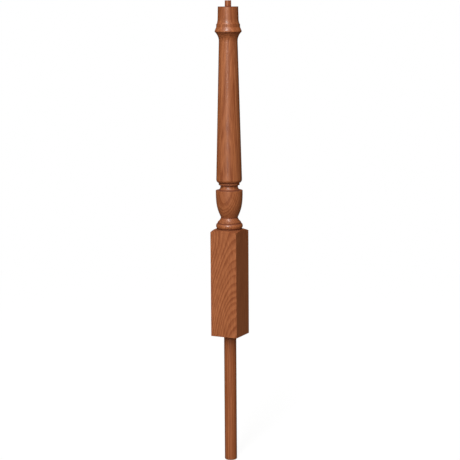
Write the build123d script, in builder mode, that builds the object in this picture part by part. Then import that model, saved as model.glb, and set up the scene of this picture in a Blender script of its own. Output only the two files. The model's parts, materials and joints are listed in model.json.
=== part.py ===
from build123d import *

import os

# Turned newel post for the start of a handrail that ends in a scroll, cut from one blank of wood.
# Z is the axis of the turning. Z = 0 is the bottom of the square block, which seats on the tread.
# The block's faces are square to X and Y. Heights of mouldings are given from the bottom up.

# Dowel, which goes down through the tread
dowel_diameter = 1.3 * IN
dowel_length = 13.625 * IN
dowel_chamfer = 0.06 * IN

# Square block, and the shoulder turned on its top
block_width = 3.0 * IN
block_height = 11.35 * IN
arris = 0.03 * IN
shoulder_drop = 0.27 * IN
shoulder_crown = 0.03 * IN

# Bead that stands on the block, on a narrow quirk
quirk_height = 0.05 * IN
quirk_diameter = 2.46 * IN
bead_height = 0.56 * IN
bead_diameter = 2.81 * IN
bead_swell = 0.125 * IN
bead_fillet_height = 0.16 * IN
bead_fillet_diameter = 2.42 * IN

# Cove that narrows to the neck of the urn
foot_cove_height = 0.43 * IN
foot_cove_depth = 0.045 * IN
urn_neck_diameter = 1.775 * IN

# Urn, on a narrow upright foot: how far its flare leans out, and how far its side runs straight
urn_foot_height = 0.04 * IN
urn_height = 2.825 * IN
urn_diameter = 2.81 * IN
urn_flare_rise = 0.96 * IN
urn_flare_reach = 0.46 * IN
urn_side_run = 1.3 * IN
rim_easing = 0.045 * IN

# Shelf that rises a little from the urn's rim to the hollow, then the neck and the collar
shelf_rise = 0.06 * IN
hollow_height = 0.34 * IN
hollow_foot_diameter = 2.2 * IN
neck_height = 0.16 * IN
neck_diameter = 1.84 * IN
collar_height = 0.27 * IN
collar_diameter = 2.19 * IN

# Tapered shaft, rolled in at its foot
roll_height = 0.33 * IN
roll_edge_diameter = 2.42 * IN
shaft_height = 14.3 * IN
shaft_foot_diameter = 2.69 * IN
shaft_top_diameter = 1.94 * IN

# Lip, with a cove below it and a flare and a band above it
lip_cove_height = 0.93 * IN
lip_cove_depth = 0.105 * IN
lip_height = 0.1 * IN
lip_diameter = 2.78 * IN
flare_height = 0.38 * IN
band_height = 0.31 * IN
band_diameter = 2.46 * IN

# Cap, on which the rail fitting sits, and the pin that goes up into it
cap_cove_height = 0.56 * IN
cap_cove_diameter = 2.375 * IN
cap_height = 1.22 * IN
cap_foot_diameter = 2.16 * IN
cap_top_diameter = 2.1 * IN
cap_easing = 0.03 * IN
pin_diameter = 0.66 * IN
pin_length = 0.625 * IN
pin_chamfer = 0.03 * IN

# Where each moulding starts
bead_z = block_height + quirk_height
bead_fillet_z = bead_z + bead_height
foot_cove_z = bead_fillet_z + bead_fillet_height
urn_foot_z = foot_cove_z + foot_cove_height
urn_z = urn_foot_z + urn_foot_height
urn_rim_z = urn_z + urn_height
hollow_z = urn_rim_z + shelf_rise
neck_z = hollow_z + hollow_height
collar_z = neck_z + neck_height
roll_z = collar_z + collar_height
shaft_z = roll_z + roll_height
lip_cove_z = shaft_z + shaft_height
lip_z = lip_cove_z + lip_cove_height
flare_z = lip_z + lip_height
band_z = flare_z + flare_height
cap_cove_z = band_z + band_height
cap_z = cap_cove_z + cap_cove_height
cap_top_z = cap_z + cap_height

# The shoulder's arc ends at the corners of the block, before their arrises are eased
corner_radius = block_width * 2**0.5 / 2


def round_edge(diameter, height):
    """Returns the edge that runs round the post at this diameter and height."""
    return newel_post.edges().sort_by_distance((-diameter / 2, 0, height))[0]


with BuildPart() as newel_post:
    with BuildSketch():
        Rectangle(block_width, block_width)
    extrude(amount=block_height)
    fillet(newel_post.edges().filter_by(Axis.Z), radius=arris)

    # Shoulder: only what lies under its arc is kept of the block
    with BuildSketch(Plane.XZ):
        with BuildLine():
            top = Line((0, block_height), (quirk_diameter / 2, block_height))
            fall = SagittaArc(top @ 1, (corner_radius, block_height - shoulder_drop), shoulder_crown)
            Polyline(fall @ 1, (corner_radius, 0), (0, 0), top @ 0)
        make_face()
    revolve(axis=Axis.Z, mode=Mode.INTERSECT)

    # Turning: half of its outline, from the block's top up to the cap
    with BuildSketch(Plane.XZ):
        with BuildLine():
            quirk = Polyline(
                (0, block_height),
                (quirk_diameter / 2, block_height),
                (quirk_diameter / 2, bead_z),
                (bead_diameter / 2 - bead_swell, bead_z),
            )
            bead = SagittaArc(quirk @ 1, (bead_diameter / 2 - bead_swell, bead_fillet_z), -bead_swell)
            bead_fillet = Polyline(
                bead @ 1,
                (bead_fillet_diameter / 2, bead_fillet_z),
                (bead_fillet_diameter / 2, foot_cove_z),
            )
            foot_cove = SagittaArc(
                bead_fillet @ 1, (urn_neck_diameter / 2, urn_foot_z), foot_cove_depth
            )
            urn_foot = Line(foot_cove @ 1, (urn_neck_diameter / 2, urn_z))
            urn = Bezier(
                urn_foot @ 1,
                (urn_neck_diameter / 2 + urn_flare_reach, urn_z + urn_flare_rise),
                (urn_diameter / 2, urn_rim_z - urn_side_run),
                (urn_diameter / 2, urn_rim_z),
            )
            shelf = Line(urn @ 1, (hollow_foot_diameter / 2, hollow_z))
            hollow = TangentArc((neck_diameter / 2, neck_z), shelf @ 1, tangent=(0, -1))
            collar = Polyline(
                hollow @ 0,
                (neck_diameter / 2, collar_z),
                (collar_diameter / 2, collar_z),
                (collar_diameter / 2, roll_z),
                (roll_edge_diameter / 2, roll_z),
            )
            roll = TangentArc((shaft_foot_diameter / 2, shaft_z), collar @ 1, tangent=(0, -1))
            shaft = Line(roll @ 0, (shaft_top_diameter / 2, lip_cove_z))
            lip_cove = SagittaArc(shaft @ 1, (lip_diameter / 2, lip_z), lip_cove_depth)
            lip_and_band = Polyline(
                lip_cove @ 1,
                (lip_diameter / 2, flare_z),
                (band_diameter / 2, band_z),
                (band_diameter / 2, cap_cove_z),
                (cap_cove_diameter / 2, cap_cove_z),
            )
            cap_cove = TangentArc((cap_foot_diameter / 2, cap_z), lip_and_band @ 1, tangent=(0, -1))
            Polyline(cap_cove @ 0, (cap_top_diameter / 2, cap_top_z), (0, cap_top_z), quirk @ 0)
        make_face()
    revolve(axis=Axis.Z)
    fillet(round_edge(urn_diameter, urn_rim_z), radius=rim_easing)
    fillet(round_edge(cap_top_diameter, cap_top_z), radius=cap_easing)

    # Dowel and pin, each chamfered where it enters its hole
    with BuildSketch():
        Circle(dowel_diameter / 2)
    extrude(amount=-dowel_length)
    chamfer(round_edge(dowel_diameter, -dowel_length), length=dowel_chamfer)
    with BuildSketch(Plane.XY.offset(cap_top_z)):
        Circle(pin_diameter / 2)
    extrude(amount=pin_length)
    chamfer(round_edge(pin_diameter, cap_top_z + pin_length), length=pin_chamfer)

newel_post.part.label = "newel_post"

os.makedirs("parts", exist_ok=True)
export_step(newel_post.part, "parts/newel_post.step")
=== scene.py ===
"""Looks of a turned newel post: one blank of stained wood under soft studio light."""

import json
import logging
import math
from dataclasses import dataclass, field
from enum import Enum
from typing import Any, Callable, Iterable

import bpy
from mathutils import Matrix, Vector

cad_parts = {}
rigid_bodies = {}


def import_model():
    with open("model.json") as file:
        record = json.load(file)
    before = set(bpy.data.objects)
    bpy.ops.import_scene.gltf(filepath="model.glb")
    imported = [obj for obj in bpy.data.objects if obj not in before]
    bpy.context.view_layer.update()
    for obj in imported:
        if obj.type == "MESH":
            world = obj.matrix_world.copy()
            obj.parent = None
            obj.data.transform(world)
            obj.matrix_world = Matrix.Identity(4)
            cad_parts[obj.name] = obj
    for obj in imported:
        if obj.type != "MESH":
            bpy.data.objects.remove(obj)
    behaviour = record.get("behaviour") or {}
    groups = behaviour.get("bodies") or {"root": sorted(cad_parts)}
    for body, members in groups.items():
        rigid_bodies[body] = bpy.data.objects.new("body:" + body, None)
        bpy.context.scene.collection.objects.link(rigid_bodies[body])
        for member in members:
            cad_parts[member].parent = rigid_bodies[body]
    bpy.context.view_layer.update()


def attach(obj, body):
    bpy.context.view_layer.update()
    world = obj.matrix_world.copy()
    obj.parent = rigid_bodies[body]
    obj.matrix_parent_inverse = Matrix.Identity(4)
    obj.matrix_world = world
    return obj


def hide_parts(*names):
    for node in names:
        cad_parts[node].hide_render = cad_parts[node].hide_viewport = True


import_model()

INCH = 0.0254
MILLIMETRE = 0.001
CUBIC_CENTIMETRE = 1e-6
LOG = logging.getLogger("newel_post")

Point = tuple[float, float]
Colour = tuple[float, float, float, float]

# Sizes that the block, the turning and the studio share
BLOCK_HEIGHT = 11.35 * INCH
QUIRK_DIAMETER = 2.46 * INCH
DOWEL_LENGTH = 13.625 * INCH

# Fineness of the mesh: facets round the post and across an arris, and points that are one
FACETS_ROUND = 144
FACETS_ACROSS_ARRIS = 5
SAME_POINT = 0.001 * MILLIMETRE

# Middle value of a noise
NOISE_MEAN = 0.5


# Mesh editing


class Merge(Enum):
    """How a modelled solid is joined to the one that it meets."""

    UNITE = "UNION"
    COMMON = "INTERSECT"


class Model:
    """One mesh under the modeller's hands. Its operators act on this object alone."""

    def __init__(self, name: str) -> None:
        """Takes the active object, which an operator has just added, and names it.

        Args:
            name: Name of the piece.
        """
        self.object: bpy.types.Object = bpy.context.active_object
        self.object.name = name
        self.object.data.name = name

    @staticmethod
    def start() -> None:
        """Leaves nothing selected, so that the next operator has only what it adds."""
        for other in bpy.context.view_layer.objects:
            other.select_set(False)
        bpy.context.view_layer.objects.active = None

    def take(self) -> None:
        """Makes this object the only selected one."""
        self.start()
        self.object.select_set(True)
        bpy.context.view_layer.objects.active = self.object

    def select_edges(self, is_end: Callable[[Vector], bool]) -> None:
        """Selects the edges that run between certain points, ready for edit mode.

        Args:
            is_end: Says if a point at this place is an end of such edges.
        """
        mesh = self.object.data
        for item in (*mesh.polygons, *mesh.vertices, *mesh.edges):
            item.select = False
        for edge in mesh.edges:
            ends = [mesh.vertices[index] for index in edge.vertices]
            if all(is_end(end.co) for end in ends):
                for item in (edge, *ends):
                    item.select = True

    def bevel_selected(self, width: float) -> None:
        """Rounds the selected edges.

        Args:
            width: Distance from the edge at which the rounding starts.
        """
        self.take()
        bpy.ops.object.mode_set(mode="EDIT")
        bpy.ops.mesh.select_mode(type="EDGE")
        bpy.ops.mesh.bevel(
            offset=width, segments=FACETS_ACROSS_ARRIS, profile=0.5, affect="EDGES"
        )
        bpy.ops.object.mode_set(mode="OBJECT")

    def tidy(self) -> None:
        """Merges doubled points, then turns every face outwards."""
        self.take()
        bpy.ops.object.mode_set(mode="EDIT")
        bpy.ops.mesh.select_mode(type="VERT")
        bpy.ops.mesh.select_all(action="SELECT")
        bpy.ops.mesh.remove_doubles(threshold=SAME_POINT)
        bpy.ops.mesh.normals_make_consistent(inside=False)
        bpy.ops.object.mode_set(mode="OBJECT")

    def merge(self, other: "Model", how: Merge) -> None:
        """Joins another solid to this one and uses it up.

        Args:
            other: The solid that is joined.
            how: Whether both are kept or only what they share.
        """
        self.take()
        joint = self.object.modifiers.new("joint", "BOOLEAN")
        joint.operation = how.value
        joint.solver = "EXACT"
        joint.object = other.object
        bpy.ops.object.modifier_apply(modifier=joint.name)
        bpy.data.objects.remove(other.object)

    def smooth(self, angle: float) -> None:
        """Shades round forms smooth and keeps flat faces flat.

        Args:
            angle: Steepest turn between faces that still reads as round, in radians.
        """
        self.take()
        bpy.ops.object.shade_smooth_by_angle(angle=angle)
        weighted = self.object.modifiers.new("weighted", "WEIGHTED_NORMAL")
        weighted.keep_sharp = True
        bpy.ops.object.modifier_apply(modifier=weighted.name)

    def solid_volume(self) -> float:
        """Returns the volume that the faces enclose, in cubic metres."""
        mesh = self.object.data
        mesh.calc_loop_triangles()
        places = [v.co for v in mesh.vertices]
        return sum(
            places[t.vertices[0]].dot(places[t.vertices[1]].cross(places[t.vertices[2]])) / 6
            for t in mesh.loop_triangles
        )


@dataclass
class Outline:
    """Half of a turning's outline, drawn from one end to the other as radius and height."""

    points: list[Point]
    step: float = 0.9 * MILLIMETRE
    fewest_parts: int = 6

    @property
    def end(self) -> Point:
        """The point that the outline has reached."""
        return self.points[-1]

    def line_to(self, radius: float, height: float, parts: int = 1) -> "Outline":
        """Draws a straight run.

        Args:
            radius: Radius at its end.
            height: Height at its end.
            parts: How many equal lengths it is divided into.

        Returns:
            The outline itself, to draw on.
        """
        r, z = self.end
        for i in range(1, parts + 1):
            self.points.append((r + (radius - r) * i / parts, z + (height - z) * i / parts))
        return self

    def sweep(self, centre: Point, radius: float, height: float) -> "Outline":
        """Draws the shorter arc round a centre.

        Args:
            centre: The arc's centre.
            radius: Radius of the post at the arc's end.
            height: Height of the arc's end.

        Returns:
            The outline itself, to draw on.
        """
        r, z = self.end
        size = math.dist(centre, self.end)
        first = math.atan2(z - centre[1], r - centre[0])
        turn = math.atan2(height - centre[1], radius - centre[0]) - first
        turn = (turn + math.pi) % math.tau - math.pi
        parts = max(self.fewest_parts, round(abs(turn) * size / self.step))
        for i in range(1, parts):
            angle = first + turn * i / parts
            self.points.append(
                (centre[0] + size * math.cos(angle), centre[1] + size * math.sin(angle))
            )
        self.points.append((radius, height))
        return self

    def bow_to(self, radius: float, height: float, rise: float) -> "Outline":
        """Draws an arc by its rise above the chord.

        Args:
            radius: Radius at its end.
            height: Height at its end.
            rise: Rise of the arc, to the left of the way it runs; a negative one goes right.

        Returns:
            The outline itself, to draw on.
        """
        r, z = self.end
        chord = math.dist(self.end, (radius, height))
        left = ((z - height) / chord, (radius - r) / chord)
        size = (chord**2 / 4 + rise**2) / (2 * rise)
        reach = rise - size
        centre = ((r + radius) / 2 + left[0] * reach, (z + height) / 2 + left[1] * reach)
        return self.sweep(centre, radius, height)

    def round_up_to(self, radius: float, height: float) -> "Outline":
        """Draws an arc that ends upright.

        Args:
            radius: Radius at its end.
            height: Height at its end.

        Returns:
            The outline itself, to draw on.
        """
        r, z = self.end
        middle = (r**2 + (z - height) ** 2 - radius**2) / (2 * (r - radius))
        return self.sweep((middle, height), radius, height)

    def swell_to(self, first: Point, second: Point, last: Point) -> "Outline":
        """Draws a free curve with two handles.

        Args:
            first: Handle next to the start.
            second: Handle next to the end.
            last: Where the curve ends.

        Returns:
            The outline itself, to draw on.
        """
        stops = (self.end, first, second, last)
        length = sum(math.dist(a, b) for a, b in zip(stops, stops[1:]))
        parts = round(length / self.step)
        for i in range(1, parts + 1):
            t = i / parts
            shares = ((1 - t) ** 3, 3 * t * (1 - t) ** 2, 3 * t**2 * (1 - t), t**3)
            r, z = (sum(s * p[k] for s, p in zip(shares, stops)) for k in (0, 1))
            self.points.append((r, z))
        return self

    def turn(self, name: str) -> Model:
        """Extrudes a point along the outline and spins it about the axis of the post.

        Args:
            name: Name of the solid.

        Returns:
            The closed solid.
        """
        Model.start()
        bpy.ops.mesh.primitive_plane_add(size=MILLIMETRE, location=(0, 0, 0))
        model = Model(name)
        model.take()
        bpy.ops.object.mode_set(mode="EDIT")
        bpy.ops.mesh.select_mode(type="VERT")
        bpy.ops.mesh.select_all(action="SELECT")
        bpy.ops.mesh.merge(type="CENTER")
        r, z = self.points[0]
        bpy.ops.transform.translate(value=(r, 0, z))
        for radius, height in self.points[1:]:
            bpy.ops.mesh.extrude_region_move(
                TRANSFORM_OT_translate={"value": (radius - r, 0, height - z)}
            )
            r, z = radius, height
        bpy.ops.mesh.select_all(action="SELECT")
        bpy.ops.mesh.spin(steps=FACETS_ROUND, angle=math.tau, center=(0, 0, 0), axis=(0, 0, 1))
        bpy.ops.object.mode_set(mode="OBJECT")
        model.tidy()
        return model


# Shader maths


class Socket:
    """A shader value that takes part in Python expressions. Each operator adds its Math node."""

    def __init__(self, graph: "Graph", output: bpy.types.NodeSocket) -> None:
        """Wraps a node's output."""
        self.graph = graph
        self.output = output

    def _maths(self, operation: str, *values: Any) -> "Socket":
        """Returns the result of a Math node with these values."""
        return self.graph.add("ShaderNodeMath", {"operation": operation}, dict(enumerate(values)))

    def __add__(self, other: Any) -> "Socket":
        """Returns self + other."""
        return self._maths("ADD", self, other)

    def __radd__(self, other: Any) -> "Socket":
        """Returns other + self."""
        return self._maths("ADD", other, self)

    def __sub__(self, other: Any) -> "Socket":
        """Returns self - other."""
        return self._maths("SUBTRACT", self, other)

    def __rsub__(self, other: Any) -> "Socket":
        """Returns other - self."""
        return self._maths("SUBTRACT", other, self)

    def __mul__(self, other: Any) -> "Socket":
        """Returns self * other."""
        return self._maths("MULTIPLY", self, other)

    def __rmul__(self, other: Any) -> "Socket":
        """Returns other * self."""
        return self._maths("MULTIPLY", other, self)

    def __truediv__(self, other: Any) -> "Socket":
        """Returns self / other."""
        return self._maths("DIVIDE", self, other)

    def __pow__(self, other: Any) -> "Socket":
        """Returns self ** other."""
        return self._maths("POWER", self, other)

    def __abs__(self) -> "Socket":
        """Returns abs(self)."""
        return self._maths("ABSOLUTE", self)

    def fraction(self) -> "Socket":
        """Returns what is left over a whole number."""
        return self._maths("FRACT", self)

    def ramp(self, low: float, high: float) -> "Socket":
        """Returns 0 below low and 1 above high, with a smooth climb between.

        Args:
            low: Value at which the climb starts.
            high: Value at which it ends; below low, the climb is a fall.

        Returns:
            The value between 0 and 1.
        """
        settings = {"interpolation_type": "SMOOTHSTEP"}
        return self.graph.add("ShaderNodeMapRange", settings, {0: self, 1: low, 2: high})


class Graph:
    """The node tree of one material or of the world."""

    def __init__(self, tree: bpy.types.NodeTree) -> None:
        """Takes a node tree and empties it."""
        self.tree = tree
        tree.nodes.clear()

    def node(self, kind: str, settings: dict[str, Any], inputs: dict[Any, Any]) -> bpy.types.Node:
        """Adds a node.

        Args:
            kind: The node's type.
            settings: Its own settings, which are set first.
            inputs: Values or links of its sockets, by name or number.

        Returns:
            The node.
        """
        node = self.tree.nodes.new(kind)
        for name, value in settings.items():
            setattr(node, name, value)
        for name, value in inputs.items():
            if isinstance(value, Socket):
                self.tree.links.new(value.output, node.inputs[name])
            else:
                node.inputs[name].default_value = value
        return node

    def add(
        self, kind: str, settings: dict[str, Any], inputs: dict[Any, Any], output: Any = 0
    ) -> Socket:
        """Adds a node and gives one of its outputs.

        Args:
            kind: The node's type.
            settings: Its own settings, which are set first.
            inputs: Values or links of its sockets, by name or number.
            output: Name or number of the output.

        Returns:
            The output, ready for expressions.
        """
        return Socket(self, self.node(kind, settings, inputs).outputs[output])

    def parts(self, vector: Socket) -> tuple[Socket, Socket, Socket]:
        """Returns the three numbers of a vector."""
        node = self.node("ShaderNodeSeparateXYZ", {}, {0: vector})
        return tuple(Socket(self, output) for output in node.outputs)

    def vector(self, x: Any, y: Any, z: Any) -> Socket:
        """Returns a vector of three values."""
        return self.add("ShaderNodeCombineXYZ", {}, {0: x, 1: y, 2: z})

    def noise(self, place: Socket, detail: float = 2.0, roughness: float = 0.5) -> Socket:
        """Reads a noise, whose grains are one unit of the place apart.

        Args:
            place: Where it is read.
            detail: How many finer layers it has.
            roughness: How strong the finer layers are.

        Returns:
            The noise, about 0 and within a half either way.
        """
        inputs = {"Vector": place, "Scale": 1.0, "Detail": detail, "Roughness": roughness}
        return self.add("ShaderNodeTexNoise", {}, inputs) - NOISE_MEAN

    def blend(self, share: Any, first: Any, second: Any) -> Socket:
        """Mixes two colours.

        Args:
            share: How much of the second there is, from 0 to 1.
            first: The first colour.
            second: The second colour.

        Returns:
            The mixed colour.
        """
        return self.add("ShaderNodeMix", {"data_type": "RGBA"}, {0: share, 6: first, 7: second}, 2)


# Finishes


@dataclass(frozen=True)
class Marks:
    """One layer of the wood's figure, made of long thin marks."""

    thickness: float
    length: float
    strength: float
    detail: float = 2.0
    roughness: float = 0.5

    def read(self, graph: Graph, u: Socket, v: Any, z: Socket) -> Socket:
        """Reads the layer.

        Args:
            graph: The material's nodes.
            u: First distance across the marks.
            v: Second distance across the marks.
            z: Distance along the marks.

        Returns:
            The layer, about 0 and within a half either way.
        """
        crosswise, lengthwise = 1.0 / self.thickness, 1.0 / self.length
        place = graph.vector(u * crosswise, v * crosswise, z * lengthwise)
        return graph.noise(place, self.detail, self.roughness)


@dataclass(frozen=True)
class Bend:
    """A stretch of the blank in which the pith moves sideways as it rises."""

    start: float
    end: float
    shift: Point


@dataclass(frozen=True)
class Tone:
    """A stretch over which the wood turns darker, and how much darker it is at its end."""

    start: float
    end: float
    shade: float


@dataclass(frozen=True)
class Crease:
    """A height at which the wood is darkened with gathered stain and painted shade, and how far it
    reaches up and down.
    """

    height: float
    reach: float


@dataclass(frozen=True)
class StainedWood:
    """Plain-sawn wood under a reddish brown stain and a satin lacquer.

    The growth rings stand round a pith that lies behind the post and bends as it rises. The
    block's front shows the flanks of tall arches, its side shows straight grain, and the shaft
    shows narrow needles.
    """

    # Colours of the pale and the dark wood
    light: Colour = (0.47, 0.161, 0.059, 1.0)
    dark: Colour = (0.25, 0.064, 0.018, 1.0)

    # End grain: its colour, its share at most, and how far up or down a face looks to show it
    end_grain: Colour = (0.19, 0.048, 0.014, 1.0)
    end_share: float = 0.62
    end_facing: Point = (0.25, 1.0)

    # Stain gathered in the creases together with painted shade there: its colour, and its share at
    # most
    crease_stain_and_shade_colour: Colour = (0.13, 0.022, 0.004, 1.0)
    crease_stain_and_shade_share: float = 0.8

    # Shade between light and dark, and the stretches where it changes
    mean_shade: float = 0.47
    tones: tuple[Tone, ...] = (Tone(0.806, 0.83, 0.12), Tone(0.0, -0.02, 0.16))

    # Pith: its place, its bends, and how far and how often it wanders
    pith: Point = (0.05, 0.03)
    bends: tuple[Bend, ...] = (
        Bend(-0.1, 0.4, (0.0, 0.075)),
        Bend(0.24, 0.42, (-0.072, 0.0)),
        Bend(0.42, 0.6, (0.0, -0.005)),
        Bend(0.6, 0.84, (0.012, 0.006)),
    )
    wander: float = 0.012
    wander_pace: Point = (9.0, 3.4)

    # Growth rings: their spacing, and where each one darkens and ends
    ring_width: float = 4.2 * MILLIMETRE
    ring_unevenness: float = 1.3
    ring_pace: Point = (110.0, 1.2)
    ring_climb: Point = (0.25, 0.86)
    ring_close: Point = (1.0, 0.9)
    ring_mean: float = 0.4
    ring_strength: float = 0.52

    # Layers of marks
    bands: Marks = Marks(2.2 * MILLIMETRE, 160 * MILLIMETRE, 0.7)
    fibre: Marks = Marks(3.0 * MILLIMETRE, 85 * MILLIMETRE, 0.9, detail=3.0, roughness=0.6)
    hair: Marks = Marks(0.4 * MILLIMETRE, 17 * MILLIMETRE, 0.4, detail=2.0, roughness=0.6)
    streak: Marks = Marks(5.0 * MILLIMETRE, 310 * MILLIMETRE, 0.9)
    cloud: Marks = Marks(62 * MILLIMETRE, 110 * MILLIMETRE, 0.3)
    pore: Marks = Marks(0.67 * MILLIMETRE, 24 * MILLIMETRE, 0.3, detail=1.0, roughness=0.4)
    pore_edge: Point = (0.13, 0.2)

    # Height at which the turned part takes over, and its gain in rings and in bands and fibre
    turned_height: Point = (0.38, 0.44)
    turned_rings: float = 0.25
    turned_figure: float = 2.2

    # Relief of hairs and pores
    relief_hair: float = 0.3
    relief_strength: float = 0.35
    relief_depth: float = 0.04 * MILLIMETRE

    # Gloss of the stained surface, and what each mark adds to its roughness
    refraction: float = 1.5
    roughness: float = 0.44
    fibre_roughness: float = 0.1
    pore_roughness: float = 0.15
    end_roughness: float = 0.12
    crease_roughness: float = 0.4

    # Lacquer, which lies thicker where the bands and fibres are dark
    coat_weight: float = 0.38
    coat_roughness: float = 0.2
    coat_fibre: float = 0.5
    coat_range: Point = (-0.2, 0.2)

    def material(self, name: str, creases: Iterable[Crease]) -> bpy.types.Material:
        """Builds the finish from the place of each point in the blank.

        Args:
            name: Name of the material.
            creases: Where the wood is darkened between mouldings, with gathered stain and painted
                shade.

        Returns:
            The material.
        """
        material = bpy.data.materials.new(name)
        material.use_nodes = True
        graph = Graph(material.node_tree)
        coordinates = graph.node("ShaderNodeTexCoord", {}, {})
        place = Socket(graph, coordinates.outputs["Object"])
        facing = Socket(graph, coordinates.outputs["Normal"])
        x, y, z = graph.parts(place)

        across, along = self.from_pith(graph, x, y, z)
        radius = (across * across + along * along) ** 0.5
        rings = self.rings(graph, radius, z)
        bands = self.bands.read(graph, radius, 0.0, z)
        fibre = self.fibre.read(graph, across, along, z)
        hair = self.hair.read(graph, across, along, z)
        streak = self.streak.read(graph, across, along, z)
        cloud = self.cloud.read(graph, x, y, z)
        pores = self.pore.read(graph, across, along, z).ramp(*self.pore_edge)

        turned = z.ramp(*self.turned_height)
        ring_gain = turned * (self.turned_rings - 1.0) + 1.0
        figure_gain = turned * (self.turned_figure - 1.0) + 1.0
        figure = bands * self.bands.strength + fibre * self.fibre.strength
        shade = self.mean_shade + (rings - self.ring_mean) * ring_gain * self.ring_strength
        shade = shade + figure * figure_gain + hair * self.hair.strength
        shade = shade + streak * self.streak.strength + cloud * self.cloud.strength
        shade = shade + pores * self.pore.strength
        for tone in self.tones:
            shade = shade + z.ramp(tone.start, tone.end) * tone.shade
        _, _, up = graph.parts(facing)
        end = abs(up).ramp(*self.end_facing)
        # Creases darkened with gathered stain and painted shade, which also roughens them and
        # takes off the lacquer
        crease_stain_and_shade = self.crease_stain_and_shade(z, creases)
        colour = graph.blend(shade, self.light, self.dark)
        colour = graph.blend(end * self.end_share, colour, self.end_grain)
        colour = graph.blend(crease_stain_and_shade * self.crease_stain_and_shade_share, colour, self.crease_stain_and_shade_colour)

        roughness = self.roughness + fibre * self.fibre_roughness + pores * self.pore_roughness
        roughness = roughness + end * self.end_roughness + crease_stain_and_shade * self.crease_roughness
        thick = (bands + fibre * self.coat_fibre).ramp(*self.coat_range)
        bump = graph.add(
            "ShaderNodeBump",
            {},
            {
                "Strength": self.relief_strength,
                "Distance": self.relief_depth,
                "Height": hair * self.relief_hair - pores,
            },
        )
        surface = graph.node(
            "ShaderNodeBsdfPrincipled",
            {},
            {
                "Base Color": colour,
                "Roughness": roughness,
                "Normal": bump,
                "IOR": self.refraction,
                "Coat Weight": thick * (1.0 - crease_stain_and_shade) * self.coat_weight,
                "Coat Roughness": self.coat_roughness,
            },
        )
        output = graph.node("ShaderNodeOutputMaterial", {}, {})
        graph.tree.links.new(surface.outputs[0], output.inputs[0])
        return material

    @staticmethod
    def crease_stain_and_shade(z: Socket, creases: Iterable[Crease]) -> Any:
        """Finds how much the creases are darkened with gathered stain and painted shade.

        Args:
            z: The point's height.
            creases: Where the wood is darkened with gathered stain and painted shade.

        Returns:
            1 in the middle of a crease and 0 away from all of them.
        """
        crease_stain_and_shade: Any = 0.0
        for crease in creases:
            crease_stain_and_shade = abs(z - crease.height).ramp(crease.reach, 0.0) + crease_stain_and_shade
        return crease_stain_and_shade

    def from_pith(self, graph: Graph, x: Socket, y: Socket, z: Socket) -> tuple[Socket, Socket]:
        """Places a point against the bending, wandering pith.

        Args:
            graph: The material's nodes.
            x: The point's place along X.
            y: The point's place along Y.
            z: The point's height.

        Returns:
            Its distances from the pith along X and along Y.
        """
        level, upward = self.wander_pace
        place = graph.vector(x * level, y * level, z * upward)
        inputs = {"Vector": place, "Scale": 1.0, "Detail": 2.0}
        sway = graph.add("ShaderNodeTexNoise", {}, inputs, "Color")
        sway_x, sway_y, _ = graph.parts(sway)
        pith_x, pith_y = self.pith
        for bend in self.bends:
            moved = z.ramp(bend.start, bend.end)
            pith_x = moved * bend.shift[0] + pith_x
            pith_y = moved * bend.shift[1] + pith_y
        across = x - pith_x + (sway_x - NOISE_MEAN) * self.wander
        along = y - pith_y + (sway_y - NOISE_MEAN) * self.wander
        return across, along

    def rings(self, graph: Graph, radius: Socket, z: Socket) -> Socket:
        """Draws the growth rings: pale wood that darkens slowly, then ends sharply.

        Args:
            graph: The material's nodes.
            radius: Distance from the pith.
            z: The point's height.

        Returns:
            0 in the pale wood and 1 in the dark line that ends a ring.
        """
        outward, upward = self.ring_pace
        uneven = graph.noise(graph.vector(radius * outward, 0.0, z * upward), detail=1.0)
        phase = (radius / self.ring_width + uneven * self.ring_unevenness).fraction()
        return phase.ramp(*self.ring_climb) * phase.ramp(*self.ring_close)


@dataclass(frozen=True)
class StudioFloor:
    """Matt white paper that shows as white and keeps the soft shadow of what stands on it."""

    shown: Colour = (1.0, 1.0, 1.0, 1.0)
    lit: Colour = (0.1, 0.062, 0.038, 1.0)
    glow: float = 0.93
    reach: float = 3.0

    def material(self, name: str) -> bpy.types.Material:
        """Builds the finish.

        Args:
            name: Name of the material.

        Returns:
            The material.
        """
        material = bpy.data.materials.new(name)
        material.use_nodes = True
        graph = Graph(material.node_tree)
        rays = graph.node("ShaderNodeLightPath", {}, {})
        seen = Socket(graph, rays.outputs["Is Camera Ray"])
        coordinates = graph.node("ShaderNodeTexCoord", {}, {})
        x, y, _ = graph.parts(Socket(graph, coordinates.outputs["Object"]))
        far = ((x * x + y * y) ** 0.5).ramp(0.0, self.reach)
        colour = graph.blend(seen, self.lit, self.shown)
        paper = graph.node("ShaderNodeBsdfDiffuse", {}, {"Color": colour})
        light = graph.node("ShaderNodeEmission", {}, {"Color": self.shown, "Strength": 1.0})
        mix = graph.node(
            "ShaderNodeMixShader",
            {},
            {
                0: seen * (self.glow + far * (1.0 - self.glow)),
                1: Socket(graph, paper.outputs[0]),
                2: Socket(graph, light.outputs[0]),
            },
        )
        output = graph.node("ShaderNodeOutputMaterial", {}, {})
        graph.tree.links.new(mix.outputs[0], output.inputs[0])
        return material


# The post


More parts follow.
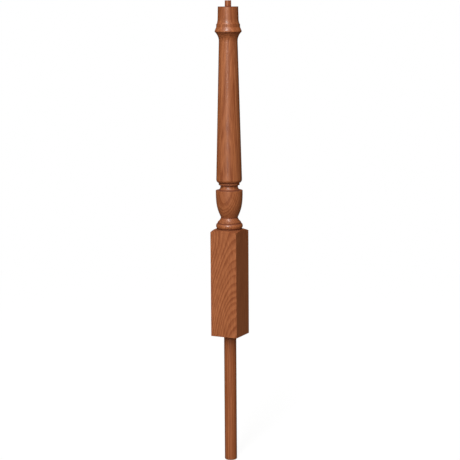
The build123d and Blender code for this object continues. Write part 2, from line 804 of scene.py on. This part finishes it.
@dataclass
class SquareBlock:
    """The square part, with a shoulder turned on its top."""

    width: float = 3.0 * INCH
    height: float = BLOCK_HEIGHT
    shoulder_radius: float = QUIRK_DIAMETER / 2
    shoulder_drop: float = 0.27 * INCH
    shoulder_crown: float = 0.03 * INCH
    arris: float = 0.03 * INCH

    # What is cut away again: the cube's extra height, and the round blank's reach past the cube
    spare_height: float = 4 * MILLIMETRE
    spare_reach: float = 1.0 * INCH

    # Top of the block that goes up into the turning, and how much narrower it is
    overlap: float = 0.25 * MILLIMETRE
    overlap_inset: float = 2 * MILLIMETRE

    def build(self) -> Model:
        """Cuts the shoulder on a square blank and eases its arrises.

        Returns:
            The block's solid.
        """
        Model.start()
        bpy.ops.mesh.primitive_cube_add(size=1, location=(0, 0, self.height / 2))
        block = Model("square_block")
        block.take()
        bpy.ops.object.mode_set(mode="EDIT")
        bpy.ops.mesh.select_all(action="SELECT")
        bpy.ops.transform.resize(
            value=(self.width, self.width, self.height + self.spare_height),
            center_override=(0, 0, self.height / 2),
        )
        bpy.ops.transform.translate(value=(0, 0, self.spare_height / 2))
        bpy.ops.object.mode_set(mode="OBJECT")
        block.object.data.transform(block.object.matrix_world)
        block.object.matrix_world = Matrix.Identity(4)
        block.merge(self.blank(), Merge.COMMON)
        block.select_edges(self.is_on_arris)
        block.bevel_selected(self.arris)
        return block

    def blank(self) -> Model:
        """Turns the round blank that leaves the shoulder where it meets the square.

        Returns:
            The blank's solid.
        """
        corner = self.width / 2 * math.sqrt(2)
        outside = corner + self.spare_reach
        shoulder = self.height - self.shoulder_drop
        outline = Outline([(0, -self.spare_reach), (outside, -self.spare_reach)])
        outline.line_to(outside, shoulder).line_to(corner, shoulder)
        outline.bow_to(self.shoulder_radius, self.height, -self.shoulder_crown)
        top = self.height + self.overlap
        outline.line_to(self.shoulder_radius - self.overlap_inset, top).line_to(0, top)
        return outline.turn("shoulder_blank")

    def is_on_arris(self, place: Vector) -> bool:
        """Says if a point lies where two side faces of the square meet."""
        near = 0.01 * MILLIMETRE
        half = self.width / 2
        return abs(abs(place.x) - half) < near and abs(abs(place.y) - half) < near


@dataclass
class Turning:
    """Everything turned round: dowel, bead, urn, neck, collar, shaft, lip, band, cap and pin."""

    dowel_diameter: float = 1.3 * INCH
    dowel_length: float = DOWEL_LENGTH
    dowel_chamfer: float = 0.06 * INCH
    block_height: float = BLOCK_HEIGHT
    quirk_height: float = 0.05 * INCH
    quirk_diameter: float = QUIRK_DIAMETER
    bead_height: float = 0.56 * INCH
    bead_diameter: float = 2.81 * INCH
    bead_swell: float = 0.125 * INCH
    bead_fillet_height: float = 0.16 * INCH
    bead_fillet_diameter: float = 2.42 * INCH
    foot_cove_height: float = 0.43 * INCH
    foot_cove_depth: float = 0.045 * INCH
    urn_neck_diameter: float = 1.775 * INCH
    urn_foot_height: float = 0.04 * INCH
    urn_height: float = 2.825 * INCH
    urn_diameter: float = 2.81 * INCH
    urn_flare_rise: float = 0.96 * INCH
    urn_flare_reach: float = 0.46 * INCH
    urn_side_run: float = 1.3 * INCH
    shelf_rise: float = 0.06 * INCH
    hollow_height: float = 0.34 * INCH
    hollow_foot_diameter: float = 2.2 * INCH
    neck_height: float = 0.16 * INCH
    neck_diameter: float = 1.84 * INCH
    collar_height: float = 0.27 * INCH
    collar_diameter: float = 2.19 * INCH
    roll_height: float = 0.33 * INCH
    roll_edge_diameter: float = 2.42 * INCH
    shaft_height: float = 14.3 * INCH
    shaft_foot_diameter: float = 2.69 * INCH
    shaft_top_diameter: float = 1.94 * INCH
    lip_cove_height: float = 0.93 * INCH
    lip_cove_depth: float = 0.105 * INCH
    lip_height: float = 0.1 * INCH
    lip_diameter: float = 2.78 * INCH
    flare_height: float = 0.38 * INCH
    band_height: float = 0.31 * INCH
    band_diameter: float = 2.46 * INCH
    cap_cove_height: float = 0.56 * INCH
    cap_cove_diameter: float = 2.375 * INCH
    cap_height: float = 1.22 * INCH
    cap_foot_diameter: float = 2.16 * INCH
    cap_top_diameter: float = 2.1 * INCH
    pin_diameter: float = 0.66 * INCH
    pin_length: float = 0.625 * INCH
    pin_chamfer: float = 0.03 * INCH

    # Steps of the outline that the block hides
    hidden_step: float = 10 * MILLIMETRE

    # How many lengths each long straight run is divided into
    dowel_parts: int = 12
    core_parts: int = 8
    shaft_parts: int = 16
    flare_parts: int = 4
    cap_parts: int = 3

    # Easings of the arrises, and the arrises that the outline has marked: radius, height, width
    fine_easing: float = 0.25 * MILLIMETRE
    soft_easing: float = 0.6 * MILLIMETRE
    eased: list[tuple[float, float, float]] = field(default_factory=list)

    # How far the gathered stain and painted shade reach from each crease, and the creases that the
    # outline has marked
    quirk_crease_reach: float = 2.6 * MILLIMETRE
    bead_crease_reach: float = 3.2 * MILLIMETRE
    urn_crease_reach: float = 2.8 * MILLIMETRE
    shelf_crease_reach: float = 2.0 * MILLIMETRE
    neck_crease_reach: float = 3.6 * MILLIMETRE
    roll_crease_reach: float = 1.6 * MILLIMETRE
    cap_crease_reach: float = 3.2 * MILLIMETRE
    creases: list[Crease] = field(default_factory=list)

    def ease(self, outline: Outline, width: float) -> None:
        """Marks the outline's last point as an arris that is rounded once it is turned."""
        self.eased.append((*outline.end, width))

    def outline(self) -> Outline:
        """Draws half of the turning, from the dowel's end to the pin's.

        Returns:
            The outline.
        """
        dowel = self.dowel_diameter / 2
        line = Outline([(0, -self.dowel_length)])
        line.line_to(dowel - self.dowel_chamfer, -self.dowel_length)
        line.line_to(dowel, self.dowel_chamfer - self.dowel_length)
        line.line_to(dowel, self.hidden_step, self.dowel_parts)
        quirk = self.quirk_diameter / 2
        z = self.block_height
        line.line_to(dowel, z - 2 * self.hidden_step, self.core_parts)
        line.line_to(quirk, z - self.hidden_step)
        z += self.quirk_height
        line.line_to(quirk, z)
        self.creases.append(Crease(z, self.quirk_crease_reach))
        line.line_to(self.bead_diameter / 2 - self.bead_swell, z)
        z += self.bead_height
        line.bow_to(self.bead_diameter / 2 - self.bead_swell, z, -self.bead_swell)
        line.line_to(self.bead_fillet_diameter / 2, z)
        self.creases.append(Crease(z, self.bead_crease_reach))
        z += self.bead_fillet_height
        line.line_to(self.bead_fillet_diameter / 2, z)
        self.ease(line, self.fine_easing)
        z += self.foot_cove_height
        line.bow_to(self.urn_neck_diameter / 2, z, self.foot_cove_depth)
        z += self.urn_foot_height
        line.line_to(self.urn_neck_diameter / 2, z)
        self.creases.append(Crease(z - self.urn_foot_height, self.urn_crease_reach))
        rim = z + self.urn_height
        line.swell_to(
            (self.urn_neck_diameter / 2 + self.urn_flare_reach, z + self.urn_flare_rise),
            (self.urn_diameter / 2, rim - self.urn_side_run),
            (self.urn_diameter / 2, rim),
        )
        self.ease(line, self.soft_easing)
        z = rim + self.shelf_rise
        line.line_to(self.hollow_foot_diameter / 2, z)
        self.creases.append(Crease(z, self.shelf_crease_reach))
        z += self.hollow_height
        line.round_up_to(self.neck_diameter / 2, z)
        z += self.neck_height
        line.line_to(self.neck_diameter / 2, z)
        self.creases.append(Crease(z, self.neck_crease_reach))
        line.line_to(self.collar_diameter / 2, z)
        self.ease(line, self.fine_easing)
        z += self.collar_height
        line.line_to(self.collar_diameter / 2, z)
        line.line_to(self.roll_edge_diameter / 2, z)
        self.creases.append(Crease(z, self.roll_crease_reach))
        self.ease(line, self.fine_easing)
        z += self.roll_height
        line.round_up_to(self.shaft_foot_diameter / 2, z)
        z += self.shaft_height
        line.line_to(self.shaft_top_diameter / 2, z, self.shaft_parts)
        z += self.lip_cove_height
        line.bow_to(self.lip_diameter / 2, z, self.lip_cove_depth)
        self.ease(line, self.fine_easing)
        z += self.lip_height
        line.line_to(self.lip_diameter / 2, z)
        self.ease(line, self.fine_easing)
        z += self.flare_height
        line.line_to(self.band_diameter / 2, z, self.flare_parts)
        z += self.band_height
        line.line_to(self.band_diameter / 2, z)
        self.ease(line, self.fine_easing)
        line.line_to(self.cap_cove_diameter / 2, z)
        z += self.cap_cove_height
        line.round_up_to(self.cap_foot_diameter / 2, z)
        z += self.cap_height
        line.line_to(self.cap_top_diameter / 2, z, self.cap_parts)
        self.creases.append(Crease(z, self.cap_crease_reach))
        self.ease(line, self.soft_easing)
        pin = self.pin_diameter / 2
        line.line_to(pin, z)
        z += self.pin_length
        line.line_to(pin, z - self.pin_chamfer).line_to(pin - self.pin_chamfer, z)
        return line.line_to(0, z)

    def build(self) -> Model:
        """Turns the outline and eases its arrises.

        Returns:
            The turning's solid.
        """
        turning = self.outline().turn("turned_post")
        for radius, height, width in self.eased:
            turning.select_edges(lambda place: self.is_on_ring(place, radius, height))
            turning.bevel_selected(width)
        return turning

    @staticmethod
    def is_on_ring(place: Vector, radius: float, height: float) -> bool:
        """Says if a point lies on the ring of this radius and height."""
        near = 0.02 * MILLIMETRE
        return abs(place.z - height) < near and abs(math.hypot(place.x, place.y) - radius) < near


@dataclass
class NewelPost:
    """The whole post: one blank, with a square block left in the turning.

    Faces that turn from each other by no more than `round_turn`, in degrees, are shaded as round.
    """

    block: SquareBlock = field(default_factory=SquareBlock)
    turning: Turning = field(default_factory=Turning)
    wood: StainedWood = field(default_factory=StainedWood)
    round_turn: float = 20.0

    def build(self) -> bpy.types.Object:
        """Models the post and dresses it.

        Returns:
            The finished piece.
        """
        post = self.turning.build()
        post.merge(self.block.build(), Merge.UNITE)
        post.tidy()
        post.smooth(math.radians(self.round_turn))
        finish = self.wood.material("stained_wood_finish", self.turning.creases)
        post.object.data.materials.append(finish)
        LOG.info("%s: %.0f cm3", post.object.name, post.solid_volume() / CUBIC_CENTIMETRE)
        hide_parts("newel_post")
        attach(post.object, "root")
        return post.object


# The studio


@dataclass(frozen=True)
class SoftBox:
    """A studio lamp that points at the middle of the post.

    Its azimuth is 0 in front of the block's -Y face and 90 at its +X face. A fill lamp lights
    the wood without a highlight of its own.
    """

    name: str
    azimuth: float
    elevation: float
    distance: float
    width: float
    height: float
    power: float
    fill: bool = False
    aim: float = 0.26

    def hang(self) -> None:
        """Adds the lamp to the scene."""
        data = bpy.data.lights.new(self.name, "AREA")
        data.shape = "RECTANGLE"
        data.size = self.width
        data.size_y = self.height
        data.energy = self.power
        lamp = bpy.data.objects.new(self.name, data)
        bpy.context.scene.collection.objects.link(lamp)
        turn, rise = math.radians(self.azimuth), math.radians(self.elevation)
        away = Vector(
            (math.sin(turn) * math.cos(rise), -math.cos(turn) * math.cos(rise), math.sin(rise))
        )
        lamp.location = Vector((0, 0, self.aim)) + away * self.distance
        lamp.rotation_mode = "QUATERNION"
        lamp.rotation_quaternion = (-away).to_track_quat("-Z", "Y")
        lamp.visible_glossy = not self.fill


@dataclass(frozen=True)
class Camera:
    """A camera level with the cap, turned and tilted down until the whole post is in view.

    Its bearing is 0 in front of the block's -Y face and 90 at its +X face. Its angles are in
    degrees. Its focal length is in pixels of a picture that is `picture_width` pixels wide.
    """

    bearing: float = 26.34
    tilt: float = 8.743
    yaw: float = 0.021
    roll: float = 0.379
    distance: float = 3.8237
    height: float = 0.8726
    focal_length: float = 1452.47
    picture_width: float = 460.0
    sensor_width: float = 36.0
    clip_end: float = 1000.0

    def place(self) -> None:
        """Adds the camera to the scene and makes it the one in use."""
        angles = (self.bearing, self.tilt, self.yaw, self.roll)
        bearing, tilt, yaw, roll = (math.radians(angle) for angle in angles)
        out = Vector((math.sin(bearing), -math.cos(bearing), 0))
        right = Vector((math.cos(bearing), math.sin(bearing), 0))
        ahead = -out * math.cos(yaw) + right * math.sin(yaw)
        right = ahead.cross(Vector((0, 0, 1)))
        look = ahead * math.cos(tilt) - Vector((0, 0, math.sin(tilt)))
        above = right.cross(look)
        across = right * math.cos(roll) - above * math.sin(roll)
        upward = above * math.cos(roll) + right * math.sin(roll)
        data = bpy.data.cameras.new("camera")
        data.sensor_width = self.sensor_width
        data.lens = self.sensor_width * self.focal_length / self.picture_width
        data.clip_end = self.clip_end
        camera = bpy.data.objects.new("camera", data)
        bpy.context.scene.collection.objects.link(camera)
        stand = Matrix.Translation(out * self.distance + Vector((0, 0, self.height)))
        camera.matrix_world = stand @ Matrix((across, upward, -look)).transposed().to_4x4()
        bpy.context.scene.camera = camera


@dataclass
class Studio:
    """Floor, lights and camera."""

    floor_height: float = -DOWEL_LENGTH
    floor_size: float = 400.0
    ambient: float = 0.08
    mirrored: float = 0.008
    ambient_tint: Colour = (1.0, 0.86, 0.74, 1.0)
    floor: StudioFloor = field(default_factory=StudioFloor)
    camera: Camera = field(default_factory=Camera)
    lamps: tuple[SoftBox, ...] = (
        SoftBox("key", 12, 43, distance=8, width=1.5, height=8.6, power=775),
        SoftBox("low", 12, 6, distance=5, width=0.6, height=1.3, power=17),
        SoftBox("left", -35, 25, distance=5, width=2, height=3, power=20, fill=True),
        SoftBox("right", 105, 10, distance=5, width=2, height=3, power=32, fill=True),
        SoftBox("back", 206, 40, distance=5, width=2, height=3, power=170, fill=True),
    )

    def build(self) -> None:
        """Sets up everything round the post."""
        self.lay_floor()
        self.light_world()
        for lamp in self.lamps:
            lamp.hang()
        self.camera.place()

    def lay_floor(self) -> None:
        """Adds the floor on which the dowel's end stands."""
        Model.start()
        bpy.ops.mesh.primitive_plane_add(size=self.floor_size, location=(0, 0, 0))
        floor = Model("studio_floor")
        floor.object.data.transform(Matrix.Translation((0, 0, self.floor_height)))
        floor.object.data.materials.append(self.floor.material("studio_paper"))
        LOG.info("studio_floor at %.3f m", self.floor_height)

    def light_world(self) -> None:
        """Shows the world as white, and lights the post with less of it."""
        world = bpy.data.worlds.new("studio")
        world.use_nodes = True
        bpy.context.scene.world = world
        graph = Graph(world.node_tree)
        rays = graph.node("ShaderNodeLightPath", {}, {})
        seen = Socket(graph, rays.outputs["Is Camera Ray"])
        gloss = Socket(graph, rays.outputs["Is Glossy Ray"])
        strength = self.ambient + seen * (1.0 - self.ambient)
        strength = strength - gloss * (self.ambient - self.mirrored)
        colour = graph.blend(seen, self.ambient_tint, self.floor.shown)
        sky = graph.node("ShaderNodeBackground", {}, {"Color": colour, "Strength": strength})
        output = graph.node("ShaderNodeOutputWorld", {}, {})
        graph.tree.links.new(sky.outputs[0], output.inputs[0])


def main() -> None:
    """Builds the post and its studio."""
    logging.basicConfig(level=logging.INFO, format="%(message)s")
    bpy.context.scene.view_settings.view_transform = "Standard"
    post = NewelPost().build()
    LOG.info("%s: %d triangles", post.name, sum(len(p.vertices) - 2 for p in post.data.polygons))
    Studio().build()


if __name__ == "__main__":
    main()
